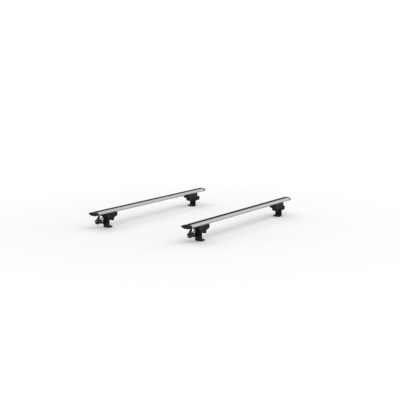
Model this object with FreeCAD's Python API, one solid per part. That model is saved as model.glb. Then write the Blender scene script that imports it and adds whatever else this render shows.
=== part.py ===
import FreeCAD, Part
import math
import os

from FreeCAD import Vector

# Pair of roof cross bars that clamp to raised roof rails. Millimetres.
# +X runs along the bars, -Y is the direction of travel, +Z is up.
# The hooks' undersides lie at z = 0, midway between the bars and their ends at x = y = 0.

# Wing section of a bar
bar_length = 1270.0        # over both end caps
bar_spacing = 750.0        # mid-chord to mid-chord
chord = 76.0               # nose to tail
bar_height = 26.0          # crest to underside
nose_radius = 7.0
tail_radius = 2.5
tail_rise = 1.0            # tail above mid-height
crest_lead = 8.0           # crest, slot and feet ahead of mid-chord
land_width = 26.0          # flat underside that the feet seat on
wing_wall = 2.0            # wall of the hollow section

# Upper slot and its rubber strip
strip_width = 24.0
strip_depth = 2.0          # rebate that the strip's flange lies in, below the crest
strip_proud = 1.6          # strip's crown above the wing
strip_shoulder = 2.5       # sloping shoulders of the strip's crown
slot_neck = 12.0
slot_lip = 2.2
slot_width = 22.0
slot_depth = 7.3
strip_clearance = 0.15     # strip's stem to the slot's neck, each side
strip_barb = 1.6           # barb's reach under each lip
strip_barb_height = 1.8

# Lower channel that holds the feet's clamp plates
channel_neck = 12.0
channel_lip = 4.0
channel_width = 22.0
channel_depth = 7.0

# End caps
cap_length = 19.0          # outside the extrusion
cap_bevel = 1.8            # bevel of the outer edge
cap_panel_share = 0.78     # recessed face against the whole outline
cap_panel_depth = 0.8
plug_length = 22.0
plug_clearance = 0.2

# Rails that the feet clamp
rail_spacing = 968.0       # rail centre to rail centre
rail_width = 32.0
rail_height = 46.5

# Heights of a foot, from the ground up
hook_thickness = 9.0
hook_pad = 2.5             # rubber under the rail
saddle_pad = 2.0           # rubber over the rail
side_pad = 2.0             # rubber at each side of the rail
stem_height = 35.5         # saddle to seat
gasket = 1.5               # rubber between seat and bar

# Foot body
foot_width = 50.0          # fore and aft
foot_edge = 1.6            # bevel round both faces
head_reach_in = 65.0       # from the rail's centre towards the car's centre
head_reach_out = 58.0
head_slope_run = 14.0      # how far the outer nose slopes back
head_depth_in = 22.5       # inner end below the seat
head_depth_out = 9.0       # nose below the seat
boss_reach = 36.0          # lower corner of the boss round the cross nut
boss_depth = 24.0
throat_drop = 31.0         # throat's corner below the seat
throat_radius = 21.0
throat_lean = 4.0          # throat's corner inside the jaw's foot
head_corner = 11.0         # rounding of the inner end
nose_corner = 2.5          # rounding of the outer nose
boss_corner = 8.0
saddle_corner = 2.5        # rounding inside the saddle and of its pads
cheek_height = 5.0         # cheeks up the sides of the wing
cheek_clearance = 0.4
jaw_thickness = 8.0
jaw_length = 16.0          # down the rail's inner side
boss_lip = 3.0             # body past the claw's wall along the guide
panel_margin = 6.0         # rim left round the sunk side panels
panel_depth = 2.5
panel_rib = 5.0            # half the rib between the panels, along the foot
panel_slot = 8.0           # outer panel's width
panel_corner = 2.0
rib_clearance = 0.3        # locating rib to the channel's neck
rib_short = 0.5            # rib's top below the lip's top

# Claw, which closes on the rail along the bolt's slope
claw_width = 50.0
claw_wall = 9.0
claw_edge = 1.5            # bevel round both faces
claw_corner = 1.6
claw_heel = 6.0            # rounding under the wall
hook_reach = 26.0          # under the rail from its outer side
hook_lip = 3.5
hook_lip_height = 2.0
guide_clearance = 0.4
arm_thickness = 7.0        # rear arm and the web along its lower edge
arm_root_low = 24.0        # arm's lower edge at the wall
arm_root_high = 54.0       # arm's upper edge at the wall
arm_window_radius = 7.0    # round window beside the wall
arm_window_reach = 13.0    # window's centre outward of the wall
arm_window_drop = 11.0     # window's centre below the arm's upper edge
fin_gap = 3.0              # arm's fin outward of the head's nose and below the seat
fin_width = 6.0            # fin's top
fin_lean = 14.0            # fin's inner edge leans outward to its foot
fin_corner = 3.0
fin_throat = 10.0          # rounding at the fin's foot
fin_heel = 7.0             # rounding where the fin meets the block
block_reach = 76.0         # bolt head's seat outward of the wall
block_length = 26.0        # along the bolt
block_width = 28.0
block_depth = 30.0
block_bevel = 4.0
pad_margin = 1.0           # pads end inside the foot's faces

# Tension bolt and cross nut
bolt_slope = 22.0          # degrees below level, outward
bolt_set_back = 11.0       # behind the foot's middle plane
bolt_radius = 4.0
bolt_hole_clearance = 0.3
bolt_head_radius = 6.5
bolt_head_height = 8.0
socket_flats = 6.0
socket_depth = 4.0
counterbore_clearance = 1.0
counterbore_depth = 11.0
washer_thickness = 1.6
washer_clearance = 0.3
claw_travel = 15.0
bolt_spare = 1.5           # tip past the nut with the claw open
nut_reach = 26.0           # cross nut outward of the rail's centre
nut_drop = 15.0            # cross nut below the seat
nut_radius = 6.0
nut_clearance = 0.1
nut_thread_clearance = 0.05
nut_margin = 3.0           # nut's ends inside the foot's faces

# Clamp plate and screws
plate_thickness = 4.0
plate_clearance = 0.5
plate_reach_in = 63.0
plate_reach_out = 20.0
screw_radius = 3.0
screw_hole_clearance = 0.3
screw_thread_clearance = 0.05
screw_head_radius = 5.0
screw_head_height = 6.0
screw_seat = 8.0           # head's seat above the head's underside corner
screw_stations = (-55.5, -40.5)
screw_counterbore_clearance = 0.5
screw_spare = 1.5          # screw's end past the plate
screw_flats = 5.0
screw_socket_depth = 3.0

# Heights and places that follow
rail_bottom = hook_thickness + hook_pad
rail_top = rail_bottom + rail_height
saddle_z = rail_top + saddle_pad
seat_z = saddle_z + stem_height
bar_bottom = seat_z + gasket
bar_axis = bar_bottom + bar_height / 2
rail_x = rail_spacing / 2
grip = rail_width / 2 + side_pad
slope = math.radians(bolt_slope)
nut_centre = Vector(rail_x + nut_reach, bolt_set_back, seat_z - nut_drop)
bolt_axis = Vector(math.cos(slope), 0, -math.sin(slope))
washer_seat = (grip + claw_wall + block_reach - nut_reach) / math.cos(slope)
extrusion_length = bar_length - 2 * cap_length


# Outlines

def polar(centre, radius, angle):
    """Point at a bearing from a centre in the section's plane."""
    return Vector(0, centre[0] + radius * math.cos(angle), centre[1] + radius * math.sin(angle))


def arc(centre, radius, start, end):
    """Arc in the section's plane between two bearings."""
    middle = (start + end) / 2
    ends = [polar(centre, radius, angle) for angle in (start, middle, end)]
    return Part.Arc(*ends).toShape()


def tangent_radius(run, rise, small):
    """Radius of the arc that leaves level and runs into a small circle inside it."""
    return (run ** 2 + rise ** 2 - small ** 2) / (2 * (rise - small))


def bearing(start, end):
    """Bearing from one point of the section to another."""
    return math.atan2(end[1] - start[1], end[0] - start[0])


def wing_wire(offset):
    """Wing outline about mid-chord and mid-height, grown all round by an offset."""
    half = bar_height / 2
    crest = -crest_lead
    tail = (chord / 2 - tail_radius, tail_rise)
    nose = (-chord / 2 + nose_radius, 0.0)
    land_back = crest + land_width / 2
    land_front = crest - land_width / 2
    top_back = tangent_radius(tail[0] - crest, half - tail[1], tail_radius)
    low_back = tangent_radius(tail[0] - land_back, half + tail[1], tail_radius)
    low_front = tangent_radius(nose[0] - land_front, half, nose_radius)
    top_front = tangent_radius(nose[0] - crest, half, nose_radius)
    top_back_centre = (crest, half - top_back)
    low_back_centre = (land_back, low_back - half)
    low_front_centre = (land_front, low_front - half)
    top_front_centre = (crest, half - top_front)
    to_tail_top = bearing(top_back_centre, tail)
    to_tail_low = bearing(low_back_centre, tail)
    to_nose_low = bearing(low_front_centre, nose)
    to_nose_top = bearing(top_front_centre, nose) - 2 * math.pi
    level = Vector(0, land_back, -half - offset), Vector(0, land_front, -half - offset)
    edges = [
        arc(top_back_centre, top_back + offset, math.pi / 2, to_tail_top),
        arc(tail, tail_radius + offset, to_tail_top, to_tail_low),
        arc(low_back_centre, low_back + offset, to_tail_low, -math.pi / 2),
        Part.LineSegment(*level).toShape(),
        arc(low_front_centre, low_front + offset, -math.pi / 2, to_nose_low),
        arc(nose, nose_radius + offset, to_nose_low, to_nose_top),
        arc(top_front_centre, top_front + offset, to_nose_top, -1.5 * math.pi),
    ]
    return Part.Wire(edges)


def wing_solid(offset, start, length):
    """Wing section run along X from a start."""
    face = Part.Face(wing_wire(offset))
    face.translate(Vector(start, 0, 0))
    return face.extrude(Vector(length, 0, 0))


def block(low, high):
    """Box between two corners."""
    size = [b - a for a, b in zip(low, high)]
    return Part.makeBox(*size, Vector(*low))


def rounded_wire(corners):
    """Closed outline in the XZ plane, each corner an (x, z, radius)."""
    points = [Vector(x, 0, z) for x, z, _ in corners]
    edges = []
    exits = []
    entries = []
    for index, (_, _, radius) in enumerate(corners):
        corner = points[index]
        back = (points[index - 1] - corner).normalize()
        ahead = (points[(index + 1) % len(points)] - corner).normalize()
        half_angle = back.getAngle(ahead) / 2
        set_back = radius / math.tan(half_angle)
        entry = corner + back * set_back
        leave = corner + ahead * set_back
        entries.append(entry)
        exits.append(leave)
        if radius > 0:
            inward = (back + ahead).normalize()
            middle = corner + inward * (radius / math.sin(half_angle) - radius)
            edges.append(Part.Arc(entry, middle, leave).toShape())
    for index in range(len(points)):
        start = exits[index]
        end = entries[(index + 1) % len(points)]
        if start.distanceToPoint(end) > 1e-6:
            edges.append(Part.LineSegment(start, end).toShape())
    return Part.Wire(Part.__sortEdges__(edges))


def slab(corners, width, centre=0.0):
    """Outline in the XZ plane given thickness along Y about a centre."""
    face = Part.Face(rounded_wire(corners))
    face.translate(Vector(0, centre - width / 2, 0))
    return face.extrude(Vector(0, width, 0))


def face_edges(shape, width):
    """Edges that lie in the two faces square to Y."""
    found = []
    for edge in shape.Edges:
        box = edge.BoundBox
        if box.YLength < 1e-4 and abs(abs(box.YMin) - width / 2) < 1e-4:
            found.append(edge)
    return found


def along_bolt(distance):
    """Point on the bolt's axis, outward from the cross nut's centre."""
    return nut_centre + bolt_axis * distance


def bolt_rod(radius, start, end):
    """Cylinder on the bolt's axis between two distances."""
    return Part.makeCylinder(radius, end - start, along_bolt(start), bolt_axis)


def hexagon(flats, depth, base, axis):
    """Hexagonal prism across its flats along an axis."""
    corner = flats / math.sqrt(3)
    points = [
        Vector(corner * math.cos(math.radians(60 * k)), corner * math.sin(math.radians(60 * k)), 0)
        for k in range(7)
    ]
    prism = Part.Face(Part.makePolygon(points)).extrude(Vector(0, 0, depth))
    prism.Placement = FreeCAD.Placement(base, FreeCAD.Rotation(Vector(0, 0, 1), axis))
    return prism


def guide_z(reach):
    """Height of the sloping guide face at a reach outward of the rail's centre."""
    return saddle_z - (reach - grip) * math.tan(slope)


# Bars

def extrusion():
    """Hollow wing section with a T-slot above and a T-channel below."""
    half = bar_height / 2
    start = -extrusion_length / 2
    end = extrusion_length / 2
    bar = wing_solid(0, start, extrusion_length)
    hollow = wing_solid(-wing_wall, start, extrusion_length)
    spine = max(slot_width, channel_width) / 2 + wing_wall
    spine_block = block((start, -crest_lead - spine, -half), (end, -crest_lead + spine, half))
    bar = bar.cut(hollow.cut(spine_block))
    levels = [
        (strip_width, half - strip_depth, half + strip_depth),
        (slot_neck, half - strip_depth - slot_lip, half),
        (slot_width, half - strip_depth - slot_lip - slot_depth, half - strip_depth - slot_lip),
        (channel_neck, -half, channel_lip - half),
        (channel_width, channel_lip - half, channel_lip + channel_depth - half),
    ]
    for width, low, high in levels:
        bar = bar.cut(block((start, -crest_lead - width / 2, low), (end, -crest_lead + width / 2, high)))
    return bar


def track_strip():
    """Rubber strip: a crowned flange just proud of the wing, a stem and two barbs under the lips."""
    half = bar_height / 2
    start = -extrusion_length / 2
    edge = strip_width / 2
    stem = slot_neck / 2 - strip_clearance
    barb = stem + strip_barb
    floor = half - strip_depth
    barb_top = floor - slot_lip - strip_clearance
    right = [
        (edge - strip_shoulder, half + strip_proud),
        (edge, half - strip_depth / 4),
        (edge, floor),
        (stem, floor),
        (stem, barb_top),
        (barb, barb_top),
        (stem, barb_top - strip_barb_height),
    ]
    outline = right + [(-y, z) for y, z in reversed(right)]
    points = [Vector(start, y - crest_lead, z) for y, z in outline + outline[:1]]
    return Part.Face(Part.makePolygon(points)).extrude(Vector(extrusion_length, 0, 0))


def end_cap():
    """Moulded cap for the +X end: bevelled rim, sunk face and two plugs into the hollows."""
    seat = extrusion_length / 2
    cap = wing_solid(0, seat, cap_length)
    rim = [edge for edge in cap.Edges if edge.BoundBox.XMin > seat + cap_length - 1e-4]
    cap = cap.makeChamfer(cap_bevel, rim)
    panel_wire = wing_wire(0).scaled(cap_panel_share, Vector(0, -crest_lead / 2, 0))
    panel = Part.Face(panel_wire).extrude(Vector(cap_panel_depth, 0, 0))
    panel.translate(Vector(seat + cap_length - cap_panel_depth, 0, 0))
    cap = cap.cut(panel)
    spine = max(slot_width, channel_width) / 2 + wing_wall + plug_clearance
    plugs = wing_solid(-wing_wall - plug_clearance, seat - plug_length, plug_length)
    spine_block = block((seat - plug_length, -crest_lead - spine, -bar_height),
                        (seat, -crest_lead + spine, bar_height))
    return cap.fuse(plugs.cut(spine_block)).removeSplitter()


# Feet, built at the +X end about the slot's plane

def foot_wing(offset):
    """Wing of the bar above a foot, grown by an offset."""
    wing = wing_solid(offset, rail_x - 2 * head_reach_in, 4 * head_reach_in)
    wing.translate(Vector(0, crest_lead, bar_axis))
    return wing


def seat_rib(width, height):
    """Bar-shaped rib along the seat, between the clamp plate's ends."""
    low = (rail_x - plate_reach_in, -width / 2, seat_z)
    high = (rail_x + plate_reach_out, width / 2, bar_bottom + height)
    return block(low, high)


def side_panels():
    """Pair of sunk panels in each face, parted by a sloping rib."""
    low = saddle_z + panel_margin
    high = seat_z - panel_margin
    lean = (high - low) / 2
    end = rail_x - head_reach_in + panel_margin + head_corner
    inner = [
        (end, high, panel_corner),
        (rail_x - lean - panel_rib, high, panel_corner),
        (rail_x - panel_rib, low, panel_corner),
        (rail_x - grip, low, panel_corner),
        (rail_x - grip - throat_lean - jaw_thickness, low + lean, panel_margin),
        (end, high - panel_margin, panel_corner),
    ]
    outer = [
        (rail_x - lean + panel_rib, high, panel_corner),
        (rail_x - lean + panel_rib + panel_slot, high, panel_corner),
        (rail_x + panel_rib + panel_slot, low, panel_corner),
        (rail_x + panel_rib, low, panel_corner),
    ]
    sinks = []
    for corners in (inner, outer):
        for side in (-1, 1):
            sinks.append(slab(corners, 2 * panel_depth, side * foot_width / 2))
    return sinks


def foot_body():
    """Moulded body: head under the bar, stem, saddle over the rail and inner jaw."""
    top = bar_bottom + cheek_height
    wall_out = grip + claw_wall + boss_lip
    jaw_foot = saddle_z - jaw_length
    corners = [
        (rail_x - head_reach_in, top, head_corner),
        (rail_x + head_reach_out - head_slope_run, top, nose_corner),
        (rail_x + head_reach_out, seat_z - head_depth_out, nose_corner),
        (rail_x + boss_reach, seat_z - boss_depth, boss_corner),
        (rail_x + wall_out, guide_z(wall_out), nose_corner),
        (rail_x + grip, saddle_z, saddle_corner),
        (rail_x - grip, saddle_z, saddle_corner),
        (rail_x - grip, jaw_foot, jaw_thickness * 0.45),
        (rail_x - grip - jaw_thickness, jaw_foot, jaw_thickness * 0.45),
        (rail_x - grip - jaw_thickness - throat_lean, seat_z - throat_drop, throat_radius),
        (rail_x - head_reach_in, seat_z - head_depth_in, head_corner),
    ]
    body = slab(corners, foot_width)
    body = body.makeChamfer(foot_edge, face_edges(body, foot_width))
    body = body.cut(foot_wing(cheek_clearance))
    seat = block((rail_x - 2 * head_reach_in, -land_width / 2, seat_z),
                 (rail_x + 2 * head_reach_in, land_width / 2, bar_bottom))
    body = body.cut(seat)
    body = body.fuse(seat_rib(channel_neck - 2 * rib_clearance, channel_lip - rib_short))
    for sink in side_panels():
        body = body.cut(sink)
    reach = nut_radius + claw_travel + 2 * bolt_spare
    body = body.cut(bolt_rod(bolt_radius + bolt_hole_clearance, -reach, 2 * head_reach_out))
    bore = Part.makeCylinder(nut_radius + nut_clearance, 2 * foot_width,
                             Vector(nut_centre.x, -foot_width, nut_centre.z), Vector(0, 1, 0))
    body = body.cut(bore)
    for station in screw_stations:
        base = Vector(rail_x + station, 0, 0)
        body = body.cut(Part.makeCylinder(screw_radius + screw_hole_clearance, 2 * bar_axis, base))
        body = body.cut(Part.makeCylinder(screw_head_radius + screw_counterbore_clearance,
                                          screw_seat_z(), base))
    return body.removeSplitter()


def screw_seat_z():
    """Height at which the clamp screws' heads seat."""
    return seat_z - head_depth_in + screw_seat


def bar_gasket():
    """Flat rubber pad on the seat, slotted for the locating rib."""
    low = (rail_x - head_reach_in + head_corner / 2, -land_width / 2, seat_z)
    high = (rail_x + head_reach_out - head_slope_run, land_width / 2, bar_bottom)
    return block(low, high).cut(seat_rib(channel_neck, channel_lip))


def saddle_rubber():
    """Rubber over the rail's top and down its inner side."""
    low = saddle_z - jaw_length + jaw_thickness / 2
    corners = [
        (rail_x + rail_width / 2 - pad_margin, saddle_z, 0.0),
        (rail_x - grip + saddle_corner, saddle_z, 0.0),
        (rail_x - grip, saddle_z - saddle_corner, 0.0),
        (rail_x - grip, low, 0.0),
        (rail_x - rail_width / 2, low + side_pad, 0.0),
        (rail_x - rail_width / 2, rail_top, saddle_corner),
        (rail_x + rail_width / 2 - pad_margin, rail_top, 0.0),
    ]
    return slab(corners, foot_width - 2 * foot_edge - 2 * pad_margin)


def claw():
    """Cast claw: wall beside the rail, hook under it, and an arm out to the bolt's block.

    The arm stands behind the bolt, with a web along its lower edge and a fin that slopes
    down from the head's nose.
    """
    inner = rail_x + grip
    outer = inner + claw_wall
    tip = rail_x + rail_width / 2 - hook_reach
    top_in = guide_z(grip) - guide_clearance / math.cos(slope)
    top_out = guide_z(grip + claw_wall) - guide_clearance / math.cos(slope)
    corners = [
        (inner, top_in, claw_corner),
        (outer, top_out, claw_corner),
        (outer, 0.0, claw_heel),
        (tip, 0.0, claw_corner),
        (tip, hook_thickness + hook_lip_height, claw_corner),
        (tip + hook_lip, hook_thickness + hook_lip_height, claw_corner),
        (tip + hook_lip, hook_thickness, 0.0),
        (inner, hook_thickness, 0.0),
    ]
    wall = slab(corners, claw_width)
    wall = wall.makeChamfer(claw_edge, face_edges(wall, claw_width))
    housing = bolt_block()
    seat = along_bolt(washer_seat)
    root = outer - claw_wall / 2
    lower = seat.z - block_depth / 3
    nose = rail_x + head_reach_out + fin_gap
    fin_top = seat_z - fin_gap
    arm = [
        (root, arm_root_high, 0.0),
        (nose + fin_lean, arm_root_high, fin_throat),
        (nose, fin_top, fin_corner),
        (nose + fin_width, fin_top, fin_corner),
        (seat.x + counterbore_depth, seat.z, fin_heel),
        (seat.x, lower, fin_corner),
        (root, arm_root_low, 0.0),
    ]
    web = [
        (root, arm_root_low + arm_thickness, 0.0),
        (seat.x, lower + arm_thickness, 0.0),
        (seat.x, lower, 0.0),
        (root, arm_root_low, 0.0),
    ]
    middle = Vector(outer + arm_window_reach, 0, arm_root_high - arm_window_drop)
    window = Part.makeCylinder(arm_window_radius, claw_width, middle, Vector(0, 1, 0))
    place = bolt_set_back + (block_width - arm_thickness) / 2
    whole = wall.fuse(housing)
    whole = whole.fuse(slab(arm, arm_thickness, place).cut(window))
    whole = whole.fuse(slab(web, block_width - 2 * block_bevel, bolt_set_back))
    whole = whole.cut(bolt_rod(bolt_radius + bolt_hole_clearance, 0, 2 * washer_seat))
    whole = whole.cut(bolt_rod(bolt_head_radius + counterbore_clearance, washer_seat, 2 * washer_seat))
    return whole.removeSplitter()


def bolt_block():
    """Bevelled housing for the bolt's head, square to the bolt."""
    housing = block((counterbore_depth - block_length, -block_width / 2, -block_depth / 2),
                    (counterbore_depth, block_width / 2, block_depth / 2))
    housing = housing.makeChamfer(block_bevel, housing.Edges)
    turn = FreeCAD.Rotation(Vector(0, 1, 0), bolt_slope)
    housing.Placement = FreeCAD.Placement(along_bolt(washer_seat), turn)
    return housing


def claw_rubber():
    """Rubber on the hook and up the claw's wall."""
    tip = rail_x + rail_width / 2 - hook_reach + hook_lip
    inner = rail_x + grip
    corners = [
        (inner, hook_thickness, 0.0),
        (inner, saddle_z - jaw_thickness, 0.0),
        (inner - side_pad, saddle_z - jaw_thickness - side_pad, 0.0),
        (inner - side_pad, rail_bottom, saddle_corner),
        (tip, rail_bottom, 0.0),
        (tip, hook_thickness, 0.0),
    ]
    return slab(corners, claw_width - 2 * claw_edge - 2 * pad_margin)


def tension_bolt():
    """Socket-head bolt down the slope, its head inside the claw's block."""
    seat = washer_seat + washer_thickness
    tip = -(nut_radius + claw_travel + bolt_spare)
    shank = bolt_rod(bolt_radius, tip, seat)
    shank = shank.makeChamfer(bolt_radius / 4, [shank.Edges[edge_at(shank, along_bolt(tip))]])
    head = bolt_rod(bolt_head_radius, seat, seat + bolt_head_height)
    socket = hexagon(socket_flats, socket_depth, along_bolt(seat + bolt_head_height), bolt_axis * -1)
    return shank.fuse(head).cut(socket).removeSplitter()


def edge_at(shape, centre):
    """Index of the round edge about a centre."""
    for index, edge in enumerate(shape.Edges):
        if edge.Curve.TypeId == "Part::GeomCircle" and edge.Curve.Center.distanceToPoint(centre) < 1e-4:
            return index
    raise ValueError("no round edge there")


def washer():
    """Plain washer under the bolt's head."""
    outer = bolt_head_radius + counterbore_clearance - washer_clearance
    top = washer_seat + washer_thickness
    hole = bolt_rod(bolt_radius + bolt_hole_clearance, washer_seat, top)
    return bolt_rod(outer, washer_seat, top).cut(hole)


def cross_nut():
    """Round nut across the body that the bolt screws into."""
    length = foot_width - 2 * nut_margin
    nut = Part.makeCylinder(nut_radius, length,
                            Vector(nut_centre.x, -length / 2, nut_centre.z), Vector(0, 1, 0))
    return nut.cut(bolt_rod(bolt_radius + nut_thread_clearance, -2 * nut_radius, 2 * nut_radius))


def clamp_plate():
    """Nut plate on the lips of the lower channel."""
    width = channel_width - 2 * plate_clearance
    low = (rail_x - plate_reach_in, -width / 2, bar_bottom + channel_lip)
    high = (rail_x + plate_reach_out, width / 2, bar_bottom + channel_lip + plate_thickness)
    plate = block(low, high)
    for station in screw_stations:
        hole = Part.makeCylinder(screw_radius + screw_thread_clearance, 2 * bar_axis,
                                 Vector(rail_x + station, 0, 0))
        plate = plate.cut(hole)
    return plate


def clamp_screws():
    """Two socket-head screws up through the head into the clamp plate."""
    seat = screw_seat_z()
    top = bar_bottom + channel_lip + plate_thickness + screw_spare
    screws = []
    for station in screw_stations:
        base = Vector(rail_x + station, 0, seat)
        low = base - Vector(0, 0, screw_head_height)
        screw = Part.makeCylinder(screw_radius, top - seat, base)
        screw = screw.fuse(Part.makeCylinder(screw_head_radius, screw_head_height, low))
        screws.append(screw.cut(hexagon(screw_flats, screw_socket_depth, low, Vector(0, 0, 1))))
    return Part.makeCompound(screws)


def placed(shape, side, bar_y):
    """Copy of a +X piece at one end of one bar."""
    copy = shape.copy() if side > 0 else shape.mirror(Vector(0, 0, 0), Vector(1, 0, 0))
    copy.translate(Vector(0, bar_y, 0))
    return copy


def export(name, shape):
    """Write one piece."""
    shape.exportStep(os.path.join("parts", name + ".step"))


os.makedirs("parts", exist_ok=True)
foot_pieces = {
    "foot_body": foot_body(),
    "bar_gasket": bar_gasket(),
    "saddle_pad": saddle_rubber(),
    "claw": claw(),
    "claw_pad": claw_rubber(),
    "tension_bolt": tension_bolt(),
    "bolt_washer": washer(),
    "cross_nut": cross_nut(),
    "clamp_plate": clamp_plate(),
    "clamp_screws": clamp_screws(),
}
bar_pieces = {"cross_bar": extrusion(), "track_strip": track_strip()}
cap = end_cap()
cap.translate(Vector(0, 0, bar_axis))
for bar_name, bar_y in (("front", -bar_spacing / 2), ("rear", bar_spacing / 2)):
    for piece, shape in bar_pieces.items():
        bar_piece = shape.copy()
        bar_piece.translate(Vector(0, bar_y, bar_axis))
        export(bar_name + "_" + piece, bar_piece)
    for side_name, side in (("left", 1), ("right", -1)):
        corner_name = bar_name + "_" + side_name
        export(corner_name + "_end_cap", placed(cap, side, bar_y))
        for piece, shape in foot_pieces.items():
            export(corner_name + "_" + piece, placed(shape, side, bar_y - crest_lead))
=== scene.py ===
import math

import bmesh
import bpy
from bpy.props import FloatProperty, FloatVectorProperty, IntProperty, PointerProperty
from mathutils import Matrix, Vector


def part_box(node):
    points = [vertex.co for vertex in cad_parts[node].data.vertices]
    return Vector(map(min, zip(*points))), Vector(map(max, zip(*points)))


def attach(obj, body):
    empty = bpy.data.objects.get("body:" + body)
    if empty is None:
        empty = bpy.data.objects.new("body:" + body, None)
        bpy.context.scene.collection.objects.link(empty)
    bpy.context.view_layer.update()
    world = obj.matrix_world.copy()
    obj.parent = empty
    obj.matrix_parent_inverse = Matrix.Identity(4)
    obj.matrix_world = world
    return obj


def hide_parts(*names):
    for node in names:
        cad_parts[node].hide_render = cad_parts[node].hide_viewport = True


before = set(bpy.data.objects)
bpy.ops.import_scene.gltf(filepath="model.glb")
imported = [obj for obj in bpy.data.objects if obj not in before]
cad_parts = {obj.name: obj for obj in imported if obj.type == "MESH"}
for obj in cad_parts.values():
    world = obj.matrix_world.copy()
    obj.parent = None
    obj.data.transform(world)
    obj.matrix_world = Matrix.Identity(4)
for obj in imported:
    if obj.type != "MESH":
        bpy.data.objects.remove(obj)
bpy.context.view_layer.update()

bl_info = {
    "name": "Roof Cross Bars",
    "version": (1, 0, 0),
    "blender": (4, 5, 0),
    "location": "View3D > Sidebar > Cross Bars",
    "description": "Dresses a pair of roof cross bars: anodised wings, rubber strips, moulded feet and bolts",
    "category": "Object",
}

MM = 0.001
BARS = ("front", "rear")
SIDES = ("left", "right")
CORNERS = [bar + "_" + side for bar in BARS for side in SIDES]
RUBBER_PADS = ("_bar_gasket", "_saddle_pad", "_claw_pad")
PLATED_PIECES = ("_tension_bolt", "_bolt_washer", "_cross_nut", "_clamp_plate", "_clamp_screws")
LAMPS = {
    "key_lamp": {"place": (-2.2, -2.4, 4.6), "size": 6.4, "power": 120},
    "fill_lamp": {"place": (3.4, -2.4, 2.8), "size": 4.2, "power": 45},
    "back_lamp": {"place": (1.0, 3.8, 3.0), "size": 4.2, "power": 55},
}
NOISE_LOW = 0.3                  # most of a noise lies between these two values
NOISE_HIGH = 0.7
SAME_POINT = 0.002 * MM          # vertices closer than this are one
LEVEL = 0.01 * MM                # points closer than this along an axis are level
SMOOTH_ANGLE = math.radians(40)  # edges sharper than this stay sharp
THREAD_STEPS = 6                 # rings in one turn of the thread
RIB_STEPS = 8                    # points across one rib of a strip
SENSOR_WIDTH = 36.0              # of the camera, in mm
FARTHEST_SEEN = 100.0            # from the camera, in m


class WingFinish(bpy.types.PropertyGroup):
    """Anodised wing extrusions"""

    colour: FloatVectorProperty(
        name="Aluminium", description="Colour of the satin anodised wings",
        subtype="COLOR", size=3, min=0, max=1, default=(0.42, 0.425, 0.44))
    grain_width: FloatProperty(
        name="Grain width", description="Width of one line of extrusion grain",
        unit="LENGTH", default=0.9 * MM, min=0.1 * MM)
    grain_length: FloatProperty(
        name="Grain length", description="Length of one line of extrusion grain",
        unit="LENGTH", default=160 * MM, min=5 * MM)


class BlackFinish(bpy.types.PropertyGroup):
    """Black mouldings, rubber and coated castings"""

    moulding: FloatVectorProperty(
        name="Moulding", description="Colour of the feet's glass-filled mouldings",
        subtype="COLOR", size=3, min=0, max=1, default=(0.009, 0.009, 0.01))
    cap: FloatVectorProperty(
        name="Cap", description="Colour of the end caps",
        subtype="COLOR", size=3, min=0, max=1, default=(0.012, 0.012, 0.0135))
    rubber: FloatVectorProperty(
        name="Rubber", description="Colour of the strips and pads",
        subtype="COLOR", size=3, min=0, max=1, default=(0.008, 0.008, 0.0085))
    coat: FloatVectorProperty(
        name="Powder coat", description="Colour of the claws",
        subtype="COLOR", size=3, min=0, max=1, default=(0.009, 0.009, 0.0105))
    rib_pitch: FloatProperty(
        name="Strip ribs", description="Spacing of the fine ribs along the strips",
        unit="LENGTH", default=1.6 * MM, min=0.5 * MM)
    rib_depth: FloatProperty(
        name="Rib depth", description="Depth of the grooves between the strips' ribs",
        unit="LENGTH", default=0.4 * MM, min=0)
    spark_size: FloatProperty(
        name="Spark texture", description="Size of the fine pits that the mould leaves",
        unit="LENGTH", default=0.55 * MM, min=0.1 * MM)
    edge: FloatProperty(
        name="Edge rounding", description="Radius at which moulded and cast edges catch the light",
        unit="LENGTH", default=0.8 * MM, min=0.05 * MM)


class BoltSizes(bpy.types.PropertyGroup):
    """Tension bolts"""

    colour: FloatVectorProperty(
        name="Plating", description="Colour of the dark-plated steel",
        subtype="COLOR", size=3, min=0, max=1, default=(0.15, 0.15, 0.158))
    slope: FloatProperty(
        name="Slope", description="Fall of the bolt towards the outside",
        subtype="ANGLE", default=math.radians(22))
    radius: FloatProperty(
        name="Radius", description="Crest radius of the thread",
        unit="LENGTH", default=4.0 * MM)
    groove: FloatProperty(
        name="Thread depth", description="Depth of the thread's groove",
        unit="LENGTH", default=0.65 * MM)
    pitch: FloatProperty(
        name="Pitch", description="Advance of the thread in one turn",
        unit="LENGTH", default=1.25 * MM)
    head_radius: FloatProperty(
        name="Head radius", description="Radius of the socket head",
        unit="LENGTH", default=6.5 * MM)
    head_height: FloatProperty(
        name="Head height", description="Height of the socket head",
        unit="LENGTH", default=8.0 * MM)
    head_round: FloatProperty(
        name="Head rounding", description="Rounding of the head's upper rim",
        unit="LENGTH", default=0.6 * MM)
    tip_chamfer: FloatProperty(
        name="Tip chamfer", description="Chamfer at the tip of the plain bolt",
        unit="LENGTH", default=1.0 * MM)
    socket_flats: FloatProperty(
        name="Socket", description="Width across the socket's flats",
        unit="LENGTH", default=6.0 * MM)
    socket_depth: FloatProperty(
        name="Socket depth", description="Depth of the hexagon socket",
        unit="LENGTH", default=4.0 * MM)
    segments: IntProperty(
        name="Segments", description="Steps round the shank", default=24, min=12, max=48)


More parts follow.
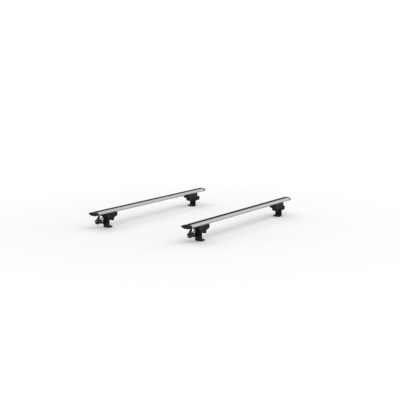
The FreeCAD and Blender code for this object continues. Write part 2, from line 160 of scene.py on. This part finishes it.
class StudioSettings(bpy.types.PropertyGroup):
    """Floor, lights and camera"""

    floor: FloatVectorProperty(
        name="Floor", description="Colour of the floor",
        subtype="COLOR", size=3, min=0, max=1, default=(0.92, 0.92, 0.92))
    floor_half: FloatProperty(
        name="Floor reach", description="Distance from the middle to the floor's sides",
        unit="LENGTH", default=14.0, min=1)
    fade_start: FloatProperty(
        name="Fade start", description="Distance from the middle at which the floor starts to fade to white",
        unit="LENGTH", default=0.7, min=0)
    fade_end: FloatProperty(
        name="Fade end", description="Distance from the middle at which the floor is white",
        unit="LENGTH", default=1.8, min=0.1)
    world_light: FloatProperty(
        name="World light", description="Strength of the white surroundings as a light",
        default=0.62, min=0)
    azimuth: FloatProperty(
        name="Azimuth", description="Bearing of the camera, 0 looking along +Y",
        subtype="ANGLE", default=math.radians(-55.6))
    elevation: FloatProperty(
        name="Elevation", description="Height of the camera above level",
        subtype="ANGLE", default=math.radians(9.7))
    distance: FloatProperty(
        name="Distance", description="Camera to the point it looks at",
        unit="LENGTH", default=6.04)
    target: FloatVectorProperty(
        name="Target", description="Point that the camera looks at",
        subtype="XYZ", size=3, unit="LENGTH", default=(0.0428, -0.0173, 0.1472))
    lens: FloatProperty(
        name="Lens", description="Focal length on a 36 mm sensor",
        unit="CAMERA", default=78.1)


# Materials

def new_material(name):
    """Material with its node tree and shader."""
    material = bpy.data.materials.new(name)
    material.use_nodes = True
    tree = material.node_tree
    shader = tree.nodes["Principled BSDF"]
    return material, tree, shader


def scaled_coordinates(tree, scale=(1, 1, 1)):
    """Object coordinates in metres, times a scale."""
    place = tree.nodes.new("ShaderNodeTexCoord")
    mapping = tree.nodes.new("ShaderNodeMapping")
    mapping.inputs["Scale"].default_value = scale
    tree.links.new(place.outputs["Object"], mapping.inputs["Vector"])
    return mapping.outputs["Vector"]


def noise(tree, vector, scale, detail=3.0, roughness=0.55):
    """Noise over a coordinate."""
    node = tree.nodes.new("ShaderNodeTexNoise")
    node.inputs["Scale"].default_value = scale
    node.inputs["Detail"].default_value = detail
    node.inputs["Roughness"].default_value = roughness
    tree.links.new(vector, node.inputs["Vector"])
    return node.outputs["Fac"]


def spread(tree, value, low, high, start=NOISE_LOW, end=NOISE_HIGH):
    """Value mapped from one range to another, a noise's range unless given."""
    node = tree.nodes.new("ShaderNodeMapRange")
    node.inputs["From Min"].default_value = start
    node.inputs["From Max"].default_value = end
    node.inputs["To Min"].default_value = low
    node.inputs["To Max"].default_value = high
    tree.links.new(value, node.inputs["Value"])
    return node.outputs["Result"]


def shade_colour(tree, shader, value, colour, darker, lighter):
    """Base colour that drifts between a darker and a lighter tone."""
    ramp = tree.nodes.new("ShaderNodeValToRGB")
    for stop, share in zip(ramp.color_ramp.elements, (darker, lighter)):
        stop.color = [min(1.0, channel * share) for channel in colour] + [1.0]
    ramp.color_ramp.elements[0].position = NOISE_LOW
    ramp.color_ramp.elements[1].position = NOISE_HIGH
    tree.links.new(value, ramp.inputs["Fac"])
    tree.links.new(ramp.outputs["Color"], shader.inputs["Base Color"])


def add_bump(tree, shader, height, strength, distance, under=None):
    """Bump from a height, over an earlier normal if there is one."""
    bump = tree.nodes.new("ShaderNodeBump")
    bump.inputs["Strength"].default_value = strength
    bump.inputs["Distance"].default_value = distance
    tree.links.new(height, bump.inputs["Height"])
    if under:
        tree.links.new(under, bump.inputs["Normal"])
    tree.links.new(bump.outputs["Normal"], shader.inputs["Normal"])
    return bump.outputs["Normal"]


def soft_edges(tree, radius):
    """Normal that turns softly across sharp edges."""
    node = tree.nodes.new("ShaderNodeBevel")
    node.samples = 6
    node.inputs["Radius"].default_value = radius
    return node.outputs["Normal"]


def seen_ray(tree):
    """One where a ray comes from the camera, a reflection or a transmission."""
    path = tree.nodes.new("ShaderNodeLightPath")
    value = path.outputs["Is Camera Ray"]
    for kind in ("Is Glossy Ray", "Is Transmission Ray"):
        either = tree.nodes.new("ShaderNodeMath")
        either.operation = "MAXIMUM"
        tree.links.new(value, either.inputs[0])
        tree.links.new(path.outputs[kind], either.inputs[1])
        value = either.outputs["Value"]
    return value


def anodised_aluminium(settings):
    """Satin silver with fine grain along the extrusion."""
    material, tree, shader = new_material("satin_anodised_wing")
    along = 1 / settings.grain_length
    across = 1 / settings.grain_width
    grain_place = scaled_coordinates(tree, (along, across, across))
    grain = noise(tree, grain_place, scale=1.0, detail=4.0, roughness=0.6)
    cloud = noise(tree, scaled_coordinates(tree), scale=9.0)
    shader.inputs["Metallic"].default_value = 1.0
    shade_colour(tree, shader, grain, settings.colour, darker=0.93, lighter=1.05)
    rough = tree.nodes.new("ShaderNodeMath")
    rough.operation = "ADD"
    tree.links.new(spread(tree, grain, low=0.30, high=0.38), rough.inputs[0])
    tree.links.new(spread(tree, cloud, low=-0.02, high=0.03), rough.inputs[1])
    tree.links.new(rough.outputs["Value"], shader.inputs["Roughness"])
    add_bump(tree, shader, grain, strength=0.12, distance=0.05 * MM)
    return material


def black_moulding(name, colour, finish, smoothest, roughest):
    """Glass-filled plastic with spark texture and faint flow marks."""
    material, tree, shader = new_material(name)
    marks_per_metre = (14, 14, 45)
    spark = noise(tree, scaled_coordinates(tree), scale=1 / finish.spark_size, detail=2.0)
    flow = noise(tree, scaled_coordinates(tree, marks_per_metre), scale=1.0)
    shade_colour(tree, shader, flow, colour, darker=0.8, lighter=1.3)
    tree.links.new(spread(tree, spark, smoothest, roughest), shader.inputs["Roughness"])
    shader.inputs["Specular IOR Level"].default_value = 0.16
    edges = soft_edges(tree, finish.edge)
    add_bump(tree, shader, spark, strength=0.35, distance=0.06 * MM, under=edges)
    return material


def soft_rubber(colour):
    """Matte rubber with a dusty bloom."""
    material, tree, shader = new_material("black_rubber")
    streaks_per_metre = (8, 60, 60)
    grit_size = 0.8 * MM
    bloom = noise(tree, scaled_coordinates(tree, streaks_per_metre), scale=1.0, detail=4.0)
    grit = noise(tree, scaled_coordinates(tree), scale=1 / grit_size, detail=2.0)
    shade_colour(tree, shader, bloom, colour, darker=0.75, lighter=1.45)
    tree.links.new(spread(tree, bloom, low=0.62, high=0.8), shader.inputs["Roughness"])
    shader.inputs["Specular IOR Level"].default_value = 0.08
    add_bump(tree, shader, grit, strength=0.25, distance=0.08 * MM)
    return material


def powder_coat(colour, edge):
    """Black powder coat with orange peel over a cast surface."""
    material, tree, shader = new_material("black_powder_coat")
    place = scaled_coordinates(tree)
    peel_size = 1.4 * MM
    casting_size = 14 * MM
    peel = noise(tree, place, scale=1 / peel_size, detail=2.0)
    casting = noise(tree, place, scale=1 / casting_size)
    shade_colour(tree, shader, casting, colour, darker=0.8, lighter=1.3)
    tree.links.new(spread(tree, casting, low=0.36, high=0.5), shader.inputs["Roughness"])
    shader.inputs["Specular IOR Level"].default_value = 0.2
    edges = soft_edges(tree, edge)
    cast_face = add_bump(tree, shader, casting, strength=0.15, distance=0.2 * MM, under=edges)
    add_bump(tree, shader, peel, strength=0.3, distance=0.08 * MM, under=cast_face)
    return material


def dark_plate(colour):
    """Dark-plated steel with a cloudy film."""
    material, tree, shader = new_material("dark_plated_steel")
    place = scaled_coordinates(tree)
    cloud_size = 6 * MM
    pit_size = 0.6 * MM
    cloud = noise(tree, place, scale=1 / cloud_size, detail=4.0)
    pits = noise(tree, place, scale=1 / pit_size, detail=2.0)
    shader.inputs["Metallic"].default_value = 1.0
    shade_colour(tree, shader, cloud, colour, darker=0.8, lighter=1.2)
    tree.links.new(spread(tree, cloud, low=0.3, high=0.48), shader.inputs["Roughness"])
    add_bump(tree, shader, pits, strength=0.12, distance=0.04 * MM)
    return material


# Meshes

def dress_node(name, material):
    """Give a CAD node its finish."""
    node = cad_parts[name]
    node.data.materials.clear()
    node.data.materials.append(material)
    return node


def new_piece(name, mesh, body, material, node):
    """Object for a mesh that rides on a body in place of a CAD node."""
    piece = bpy.data.objects.new(name, mesh)
    bpy.context.scene.collection.objects.link(piece)
    mesh.materials.append(material)
    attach(piece, body)
    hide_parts(node)


def ring_points(mesh, radii, height):
    """Ring of vertices round +Z, one for each radius."""
    ring = []
    for k, radius in enumerate(radii):
        angle = 2 * math.pi * k / len(radii)
        ring.append(mesh.verts.new((radius * math.cos(angle), radius * math.sin(angle), height)))
    return ring


def bridge(mesh, lower, upper):
    """Quads between two rings of as many vertices."""
    count = len(lower)
    for k in range(count):
        after = (k + 1) % count
        mesh.faces.new((lower[k], lower[after], upper[after], upper[k]))


def end_outline(node):
    """Points round the low-X end of an extruded node, in order."""
    mesh = bmesh.new()
    mesh.from_mesh(node.data)
    mesh.transform(node.matrix_world)
    bmesh.ops.remove_doubles(mesh, verts=mesh.verts, dist=SAME_POINT)
    limit = min(vert.co.x for vert in mesh.verts) + LEVEL
    ends = [face for face in mesh.faces if max(vert.co.x for vert in face.verts) < limit]
    after = {}
    for face in ends:
        for loop in face.loops:
            if not all(other in ends for other in loop.edge.link_faces):
                after[loop.vert] = loop.link_loop_next.vert
    outline = []
    point = min(after, key=lambda vert: vert.co.y)
    for _ in after:
        outline.append((point.co.y, point.co.z))
        point = after[point]
    mesh.free()
    return outline


def ribbed_outline(outline, pitch, depth):
    """The outline with rounded ribs along its highest edge."""
    top = max(z for y, z in outline)
    ribbed = []
    for (y, z), (next_y, next_z) in zip(outline, outline[1:] + outline[:1]):
        ribbed.append((y, z))
        if min(z, next_z) < top - LEVEL:
            continue
        ribs = int(abs(next_y - y) / pitch)
        for k in range(1, RIB_STEPS * ribs):
            share = k / (RIB_STEPS * ribs)
            groove = depth * (1 - math.cos(2 * math.pi * ribs * share)) / 2
            ribbed.append((y + (next_y - y) * share, top - groove))
    return ribbed


def strip_mesh(outline, start, end):
    """Strip of one section along X, closed at both ends."""
    mesh = bmesh.new()
    rings = [[mesh.verts.new((x, y, z)) for y, z in outline] for x in (start, end)]
    bridge(mesh, *rings)
    for ring in rings:
        mesh.faces.new(ring)
    return finished_mesh(mesh, "ribbed_strip")


def thread_rings(mesh, sizes, length):
    """Rings up a threaded shank, each point's radius set by its place on the helix."""
    play = 0.01 * MM
    runout = 1.5 * sizes.pitch
    shallowest = 0.15
    steps = int(length / sizes.pitch * THREAD_STEPS)
    rings = []
    for step in range(steps + 1):
        height = length * step / steps
        share = max(shallowest, min(1.0, height / runout, (length - height) / runout))
        radii = []
        for k in range(sizes.segments):
            phase = (height / sizes.pitch - k / sizes.segments) % 1.0
            radii.append(sizes.radius - play - share * sizes.groove * abs(2 * phase - 1))
        rings.append(ring_points(mesh, radii, height))
    return rings


def head_rings(mesh, sizes, base):
    """Rings up the head's side and over its rounded rim."""
    top = base + sizes.head_height
    rim = sizes.head_round
    profile = [
        (sizes.head_radius - rim / 2, base),
        (sizes.head_radius, base + rim / 2),
        (sizes.head_radius, top - rim),
        (sizes.head_radius - 0.3 * rim, top - 0.3 * rim),
        (sizes.head_radius - rim, top),
    ]
    return [ring_points(mesh, [radius] * sizes.segments, height) for radius, height in profile]


def socket_rings(mesh, sizes, top):
    """Rings down the hexagon socket from the head's top."""
    radii = []
    for k in range(sizes.segments):
        angle = 2 * math.pi * k / sizes.segments
        from_flat = angle % (math.pi / 3) - math.pi / 6
        radii.append(sizes.socket_flats / 2 / math.cos(from_flat))
    return [ring_points(mesh, radii, height) for height in (top, top - sizes.socket_depth)]


def bolt_mesh(sizes, shank_length):
    """Socket-head bolt along +Z from its tip: thread, rounded head and hexagon socket."""
    mesh = bmesh.new()
    rings = thread_rings(mesh, sizes, shank_length)
    rings += head_rings(mesh, sizes, shank_length)
    rings += socket_rings(mesh, sizes, shank_length + sizes.head_height)
    mesh.faces.new(list(reversed(rings[0])))
    for lower, upper in zip(rings, rings[1:]):
        bridge(mesh, lower, upper)
    mesh.faces.new(rings[-1])
    return finished_mesh(mesh, "tension_bolt")


def finished_mesh(mesh, name):
    """Mesh data with its faces turned outward and smoothed between the sharp edges."""
    bmesh.ops.recalc_face_normals(mesh, faces=mesh.faces)
    data = bpy.data.meshes.new(name)
    mesh.to_mesh(data)
    mesh.free()
    data.polygons.foreach_set("use_smooth", [True] * len(data.polygons))
    data.set_sharp_from_angle(angle=SMOOTH_ANGLE)
    return data


# Operators

class CROSSBARS_OT_wings(bpy.types.Operator):
    """Finish the two wing extrusions in satin anodised aluminium"""

    bl_idname = "crossbars.wings"
    bl_label = "Wings"

    def execute(self, context):
        material = anodised_aluminium(context.scene.wing_finish)
        for bar in BARS:
            dress_node(bar + "_cross_bar", material)
        return {"FINISHED"}


class CROSSBARS_OT_rubber(bpy.types.Operator):
    """Rib the slot strips and finish every rubber pad"""

    bl_idname = "crossbars.rubber"
    bl_label = "Strips and pads"

    def execute(self, context):
        finish = context.scene.black_finish
        material = soft_rubber(finish.rubber)
        for bar in BARS:
            self.rib_strip(bar, finish, material)
        for corner in CORNERS:
            for pad in RUBBER_PADS:
                dress_node(corner + pad, material)
        return {"FINISHED"}

    def rib_strip(self, bar, finish, material):
        """Ribbed strip with the plain strip's own section."""
        plain = bar + "_track_strip"
        node = dress_node(plain, material)
        outline = ribbed_outline(end_outline(node), finish.rib_pitch, finish.rib_depth)
        low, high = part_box(plain)
        mesh = strip_mesh(outline, low[0], high[0])
        new_piece(bar + "_ribbed_strip", mesh, "bars", material, plain)


class CROSSBARS_OT_caps(bpy.types.Operator):
    """Finish the end caps"""

    bl_idname = "crossbars.caps"
    bl_label = "End caps"

    def execute(self, context):
        finish = context.scene.black_finish
        material = black_moulding("cap_moulding", finish.cap, finish, smoothest=0.42, roughest=0.55)
        for corner in CORNERS:
            dress_node(corner + "_end_cap", material)
        return {"FINISHED"}


class CROSSBARS_OT_feet(bpy.types.Operator):
    """Finish the moulded foot bodies"""

    bl_idname = "crossbars.feet"
    bl_label = "Feet"

    def execute(self, context):
        finish = context.scene.black_finish
        material = black_moulding("foot_moulding", finish.moulding, finish, smoothest=0.45, roughest=0.6)
        for corner in CORNERS:
            dress_node(corner + "_foot_body", material)
        return {"FINISHED"}


class CROSSBARS_OT_claws(bpy.types.Operator):
    """Finish the cast claws in black powder coat"""

    bl_idname = "crossbars.claws"
    bl_label = "Claws"

    def execute(self, context):
        finish = context.scene.black_finish
        material = powder_coat(finish.coat, finish.edge)
        for corner in CORNERS:
            dress_node(corner + "_claw", material)
        return {"FINISHED"}


class CROSSBARS_OT_bolts(bpy.types.Operator):
    """Thread the tension bolts and finish the plated hardware"""

    bl_idname = "crossbars.bolts"
    bl_label = "Bolts and hardware"

    def execute(self, context):
        sizes = context.scene.bolt_sizes
        material = dark_plate(sizes.colour)
        for corner in CORNERS:
            for piece in PLATED_PIECES:
                dress_node(corner + piece, material)
            self.thread_bolt(corner, sizes, material)
        return {"FINISHED"}

    def thread_bolt(self, corner, sizes, material):
        """Threaded bolt where the plain one lies."""
        plain = corner + "_tension_bolt"
        side = 1 if corner.endswith("left") else -1
        low, high = (Vector(point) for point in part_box(plain))
        axis = Vector((side * math.cos(sizes.slope), 0, -math.sin(sizes.slope)))
        rise = sizes.head_radius * math.cos(sizes.slope)
        inset = sizes.head_radius * math.sin(sizes.slope)
        outer = high.x - inset if side > 0 else low.x + inset
        top = Vector((outer, (low.y + high.y) / 2, low.z + rise))
        length = self.bolt_length(low, high, sizes)
        tip = top - axis * length
        mesh = bolt_mesh(sizes, length - sizes.head_height)
        turn = Vector((0, 0, 1)).rotation_difference(axis).to_matrix().to_4x4()
        mesh.transform(Matrix.Translation(tip) @ turn)
        new_piece(corner + "_threaded_bolt", mesh, corner + "_bolt", material, plain)

    def bolt_length(self, low, high, sizes):
        """Whole length along the slope, from the bolt's box."""
        tall = high.z - low.z
        fall = math.sin(sizes.slope)
        round_ends = (sizes.head_radius + sizes.radius) * math.cos(sizes.slope) - sizes.tip_chamfer * fall
        return (tall - round_ends) / fall


class CROSSBARS_OT_stage(bpy.types.Operator):
    """Floor, lights and camera"""

    bl_idname = "crossbars.stage"
    bl_label = "Stage"

    def execute(self, context):
        settings = context.scene.studio_settings
        context.scene.view_settings.view_transform = "Standard"
        self.lay_floor(settings)
        self.light_world(context, settings)
        for name, lamp in LAMPS.items():
            self.hang_lamp(name, **lamp)
        self.place_camera(context, settings)
        return {"FINISHED"}

    def lay_floor(self, settings):
        """Large pale floor under the hooks."""
        mesh = bpy.data.meshes.new("floor")
        half = settings.floor_half
        corners = [(-half, -half, 0), (half, -half, 0), (half, half, 0), (-half, half, 0)]
        mesh.from_pydata(corners, [], [(0, 1, 2, 3)])
        floor = bpy.data.objects.new("floor", mesh)
        bpy.context.scene.collection.objects.link(floor)
        material, tree, shader = new_material("pale_floor")
        cloud = noise(tree, scaled_coordinates(tree), scale=1.5)
        shade_colour(tree, shader, cloud, settings.floor, darker=0.99, lighter=1.01)
        shader.inputs["Roughness"].default_value = 0.9
        shader.inputs["Specular IOR Level"].default_value = 0.1
        self.fade_floor(tree, shader, settings)
        mesh.materials.append(material)

    def fade_floor(self, tree, shader, settings):
        """Let the far floor pass into the white background, the shadow's part kept."""
        far = tree.nodes.new("ShaderNodeVectorMath")
        far.operation = "LENGTH"
        tree.links.new(scaled_coordinates(tree), far.inputs[0])
        near_end, far_end = settings.fade_start, settings.fade_end
        away = spread(tree, far.outputs["Value"], low=0, high=1, start=near_end, end=far_end)
        share = tree.nodes.new("ShaderNodeMath")
        share.operation = "MULTIPLY"
        tree.links.new(away, share.inputs[0])
        tree.links.new(seen_ray(tree), share.inputs[1])
        glow = tree.nodes.new("ShaderNodeEmission")
        glow.inputs["Color"].default_value = (1, 1, 1, 1)
        glow.inputs["Strength"].default_value = 1.0
        mix = tree.nodes.new("ShaderNodeMixShader")
        tree.links.new(share.outputs["Value"], mix.inputs["Fac"])
        tree.links.new(shader.outputs["BSDF"], mix.inputs[1])
        tree.links.new(glow.outputs["Emission"], mix.inputs[2])
        tree.links.new(mix.outputs["Shader"], tree.nodes["Material Output"].inputs["Surface"])

    def light_world(self, context, settings):
        """White to the camera and to reflections, softer as a light."""
        world = bpy.data.worlds.new("studio")
        context.scene.world = world
        world.use_nodes = True
        tree = world.node_tree
        background = tree.nodes["Background"]
        background.inputs["Color"].default_value = (1, 1, 1, 1)
        strength = spread(tree, seen_ray(tree), low=settings.world_light, high=1, start=0, end=1)
        tree.links.new(strength, background.inputs["Strength"])

    def hang_lamp(self, name, place, size, power):
        """Soft square lamp that faces the object."""
        lamp = bpy.data.lights.new(name, "AREA")
        lamp.size = size
        lamp.energy = power
        hung = bpy.data.objects.new(name, lamp)
        hung.location = place
        hung.rotation_euler = (-Vector(place)).to_track_quat("-Z", "Y").to_euler()
        bpy.context.scene.collection.objects.link(hung)

    def place_camera(self, context, settings):
        """Camera at the photograph's angle and framing."""
        camera = bpy.data.cameras.new("camera")
        camera.lens = settings.lens
        camera.sensor_width = SENSOR_WIDTH
        camera.clip_end = FARTHEST_SEEN
        placed = bpy.data.objects.new("camera", camera)
        level = math.cos(settings.elevation)
        back = Vector((math.sin(settings.azimuth) * level, -math.cos(settings.azimuth) * level,
                       math.sin(settings.elevation)))
        placed.location = Vector(settings.target) + back * settings.distance
        placed.rotation_euler = (-back).to_track_quat("-Z", "Y").to_euler()
        context.scene.collection.objects.link(placed)
        context.scene.camera = placed


class CROSSBARS_PT_panel(bpy.types.Panel):
    """Pieces of the cross bars in the sidebar"""

    bl_label = "Cross Bars"
    bl_idname = "CROSSBARS_PT_panel"
    bl_space_type = "VIEW_3D"
    bl_region_type = "UI"
    bl_category = "Cross Bars"

    def draw(self, context):
        for group in GROUPS:
            settings = getattr(context.scene, group)
            box = self.layout.box()
            for name in settings.__annotations__:
                box.prop(settings, name)
        for operator in OPERATORS:
            self.layout.operator(operator.bl_idname)


OPERATORS = (
    CROSSBARS_OT_wings,
    CROSSBARS_OT_rubber,
    CROSSBARS_OT_caps,
    CROSSBARS_OT_feet,
    CROSSBARS_OT_claws,
    CROSSBARS_OT_bolts,
    CROSSBARS_OT_stage,
)
GROUPS = {
    "wing_finish": WingFinish,
    "black_finish": BlackFinish,
    "bolt_sizes": BoltSizes,
    "studio_settings": StudioSettings,
}


def register():
    """Settings, operators and panel made known to Blender."""
    for group, settings in GROUPS.items():
        bpy.utils.register_class(settings)
        setattr(bpy.types.Scene, group, PointerProperty(type=settings))
    for operator in OPERATORS:
        bpy.utils.register_class(operator)
    bpy.utils.register_class(CROSSBARS_PT_panel)


def unregister():
    """All of it taken out again."""
    bpy.utils.unregister_class(CROSSBARS_PT_panel)
    for operator in reversed(OPERATORS):
        bpy.utils.unregister_class(operator)
    for group, settings in GROUPS.items():
        delattr(bpy.types.Scene, group)
        bpy.utils.unregister_class(settings)


def main():
    """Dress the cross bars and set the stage."""
    register()
    bpy.ops.crossbars.wings()
    bpy.ops.crossbars.rubber()
    bpy.ops.crossbars.caps()
    bpy.ops.crossbars.feet()
    bpy.ops.crossbars.claws()
    bpy.ops.crossbars.bolts()
    bpy.ops.crossbars.stage()


if __name__ == "__main__":
    main()
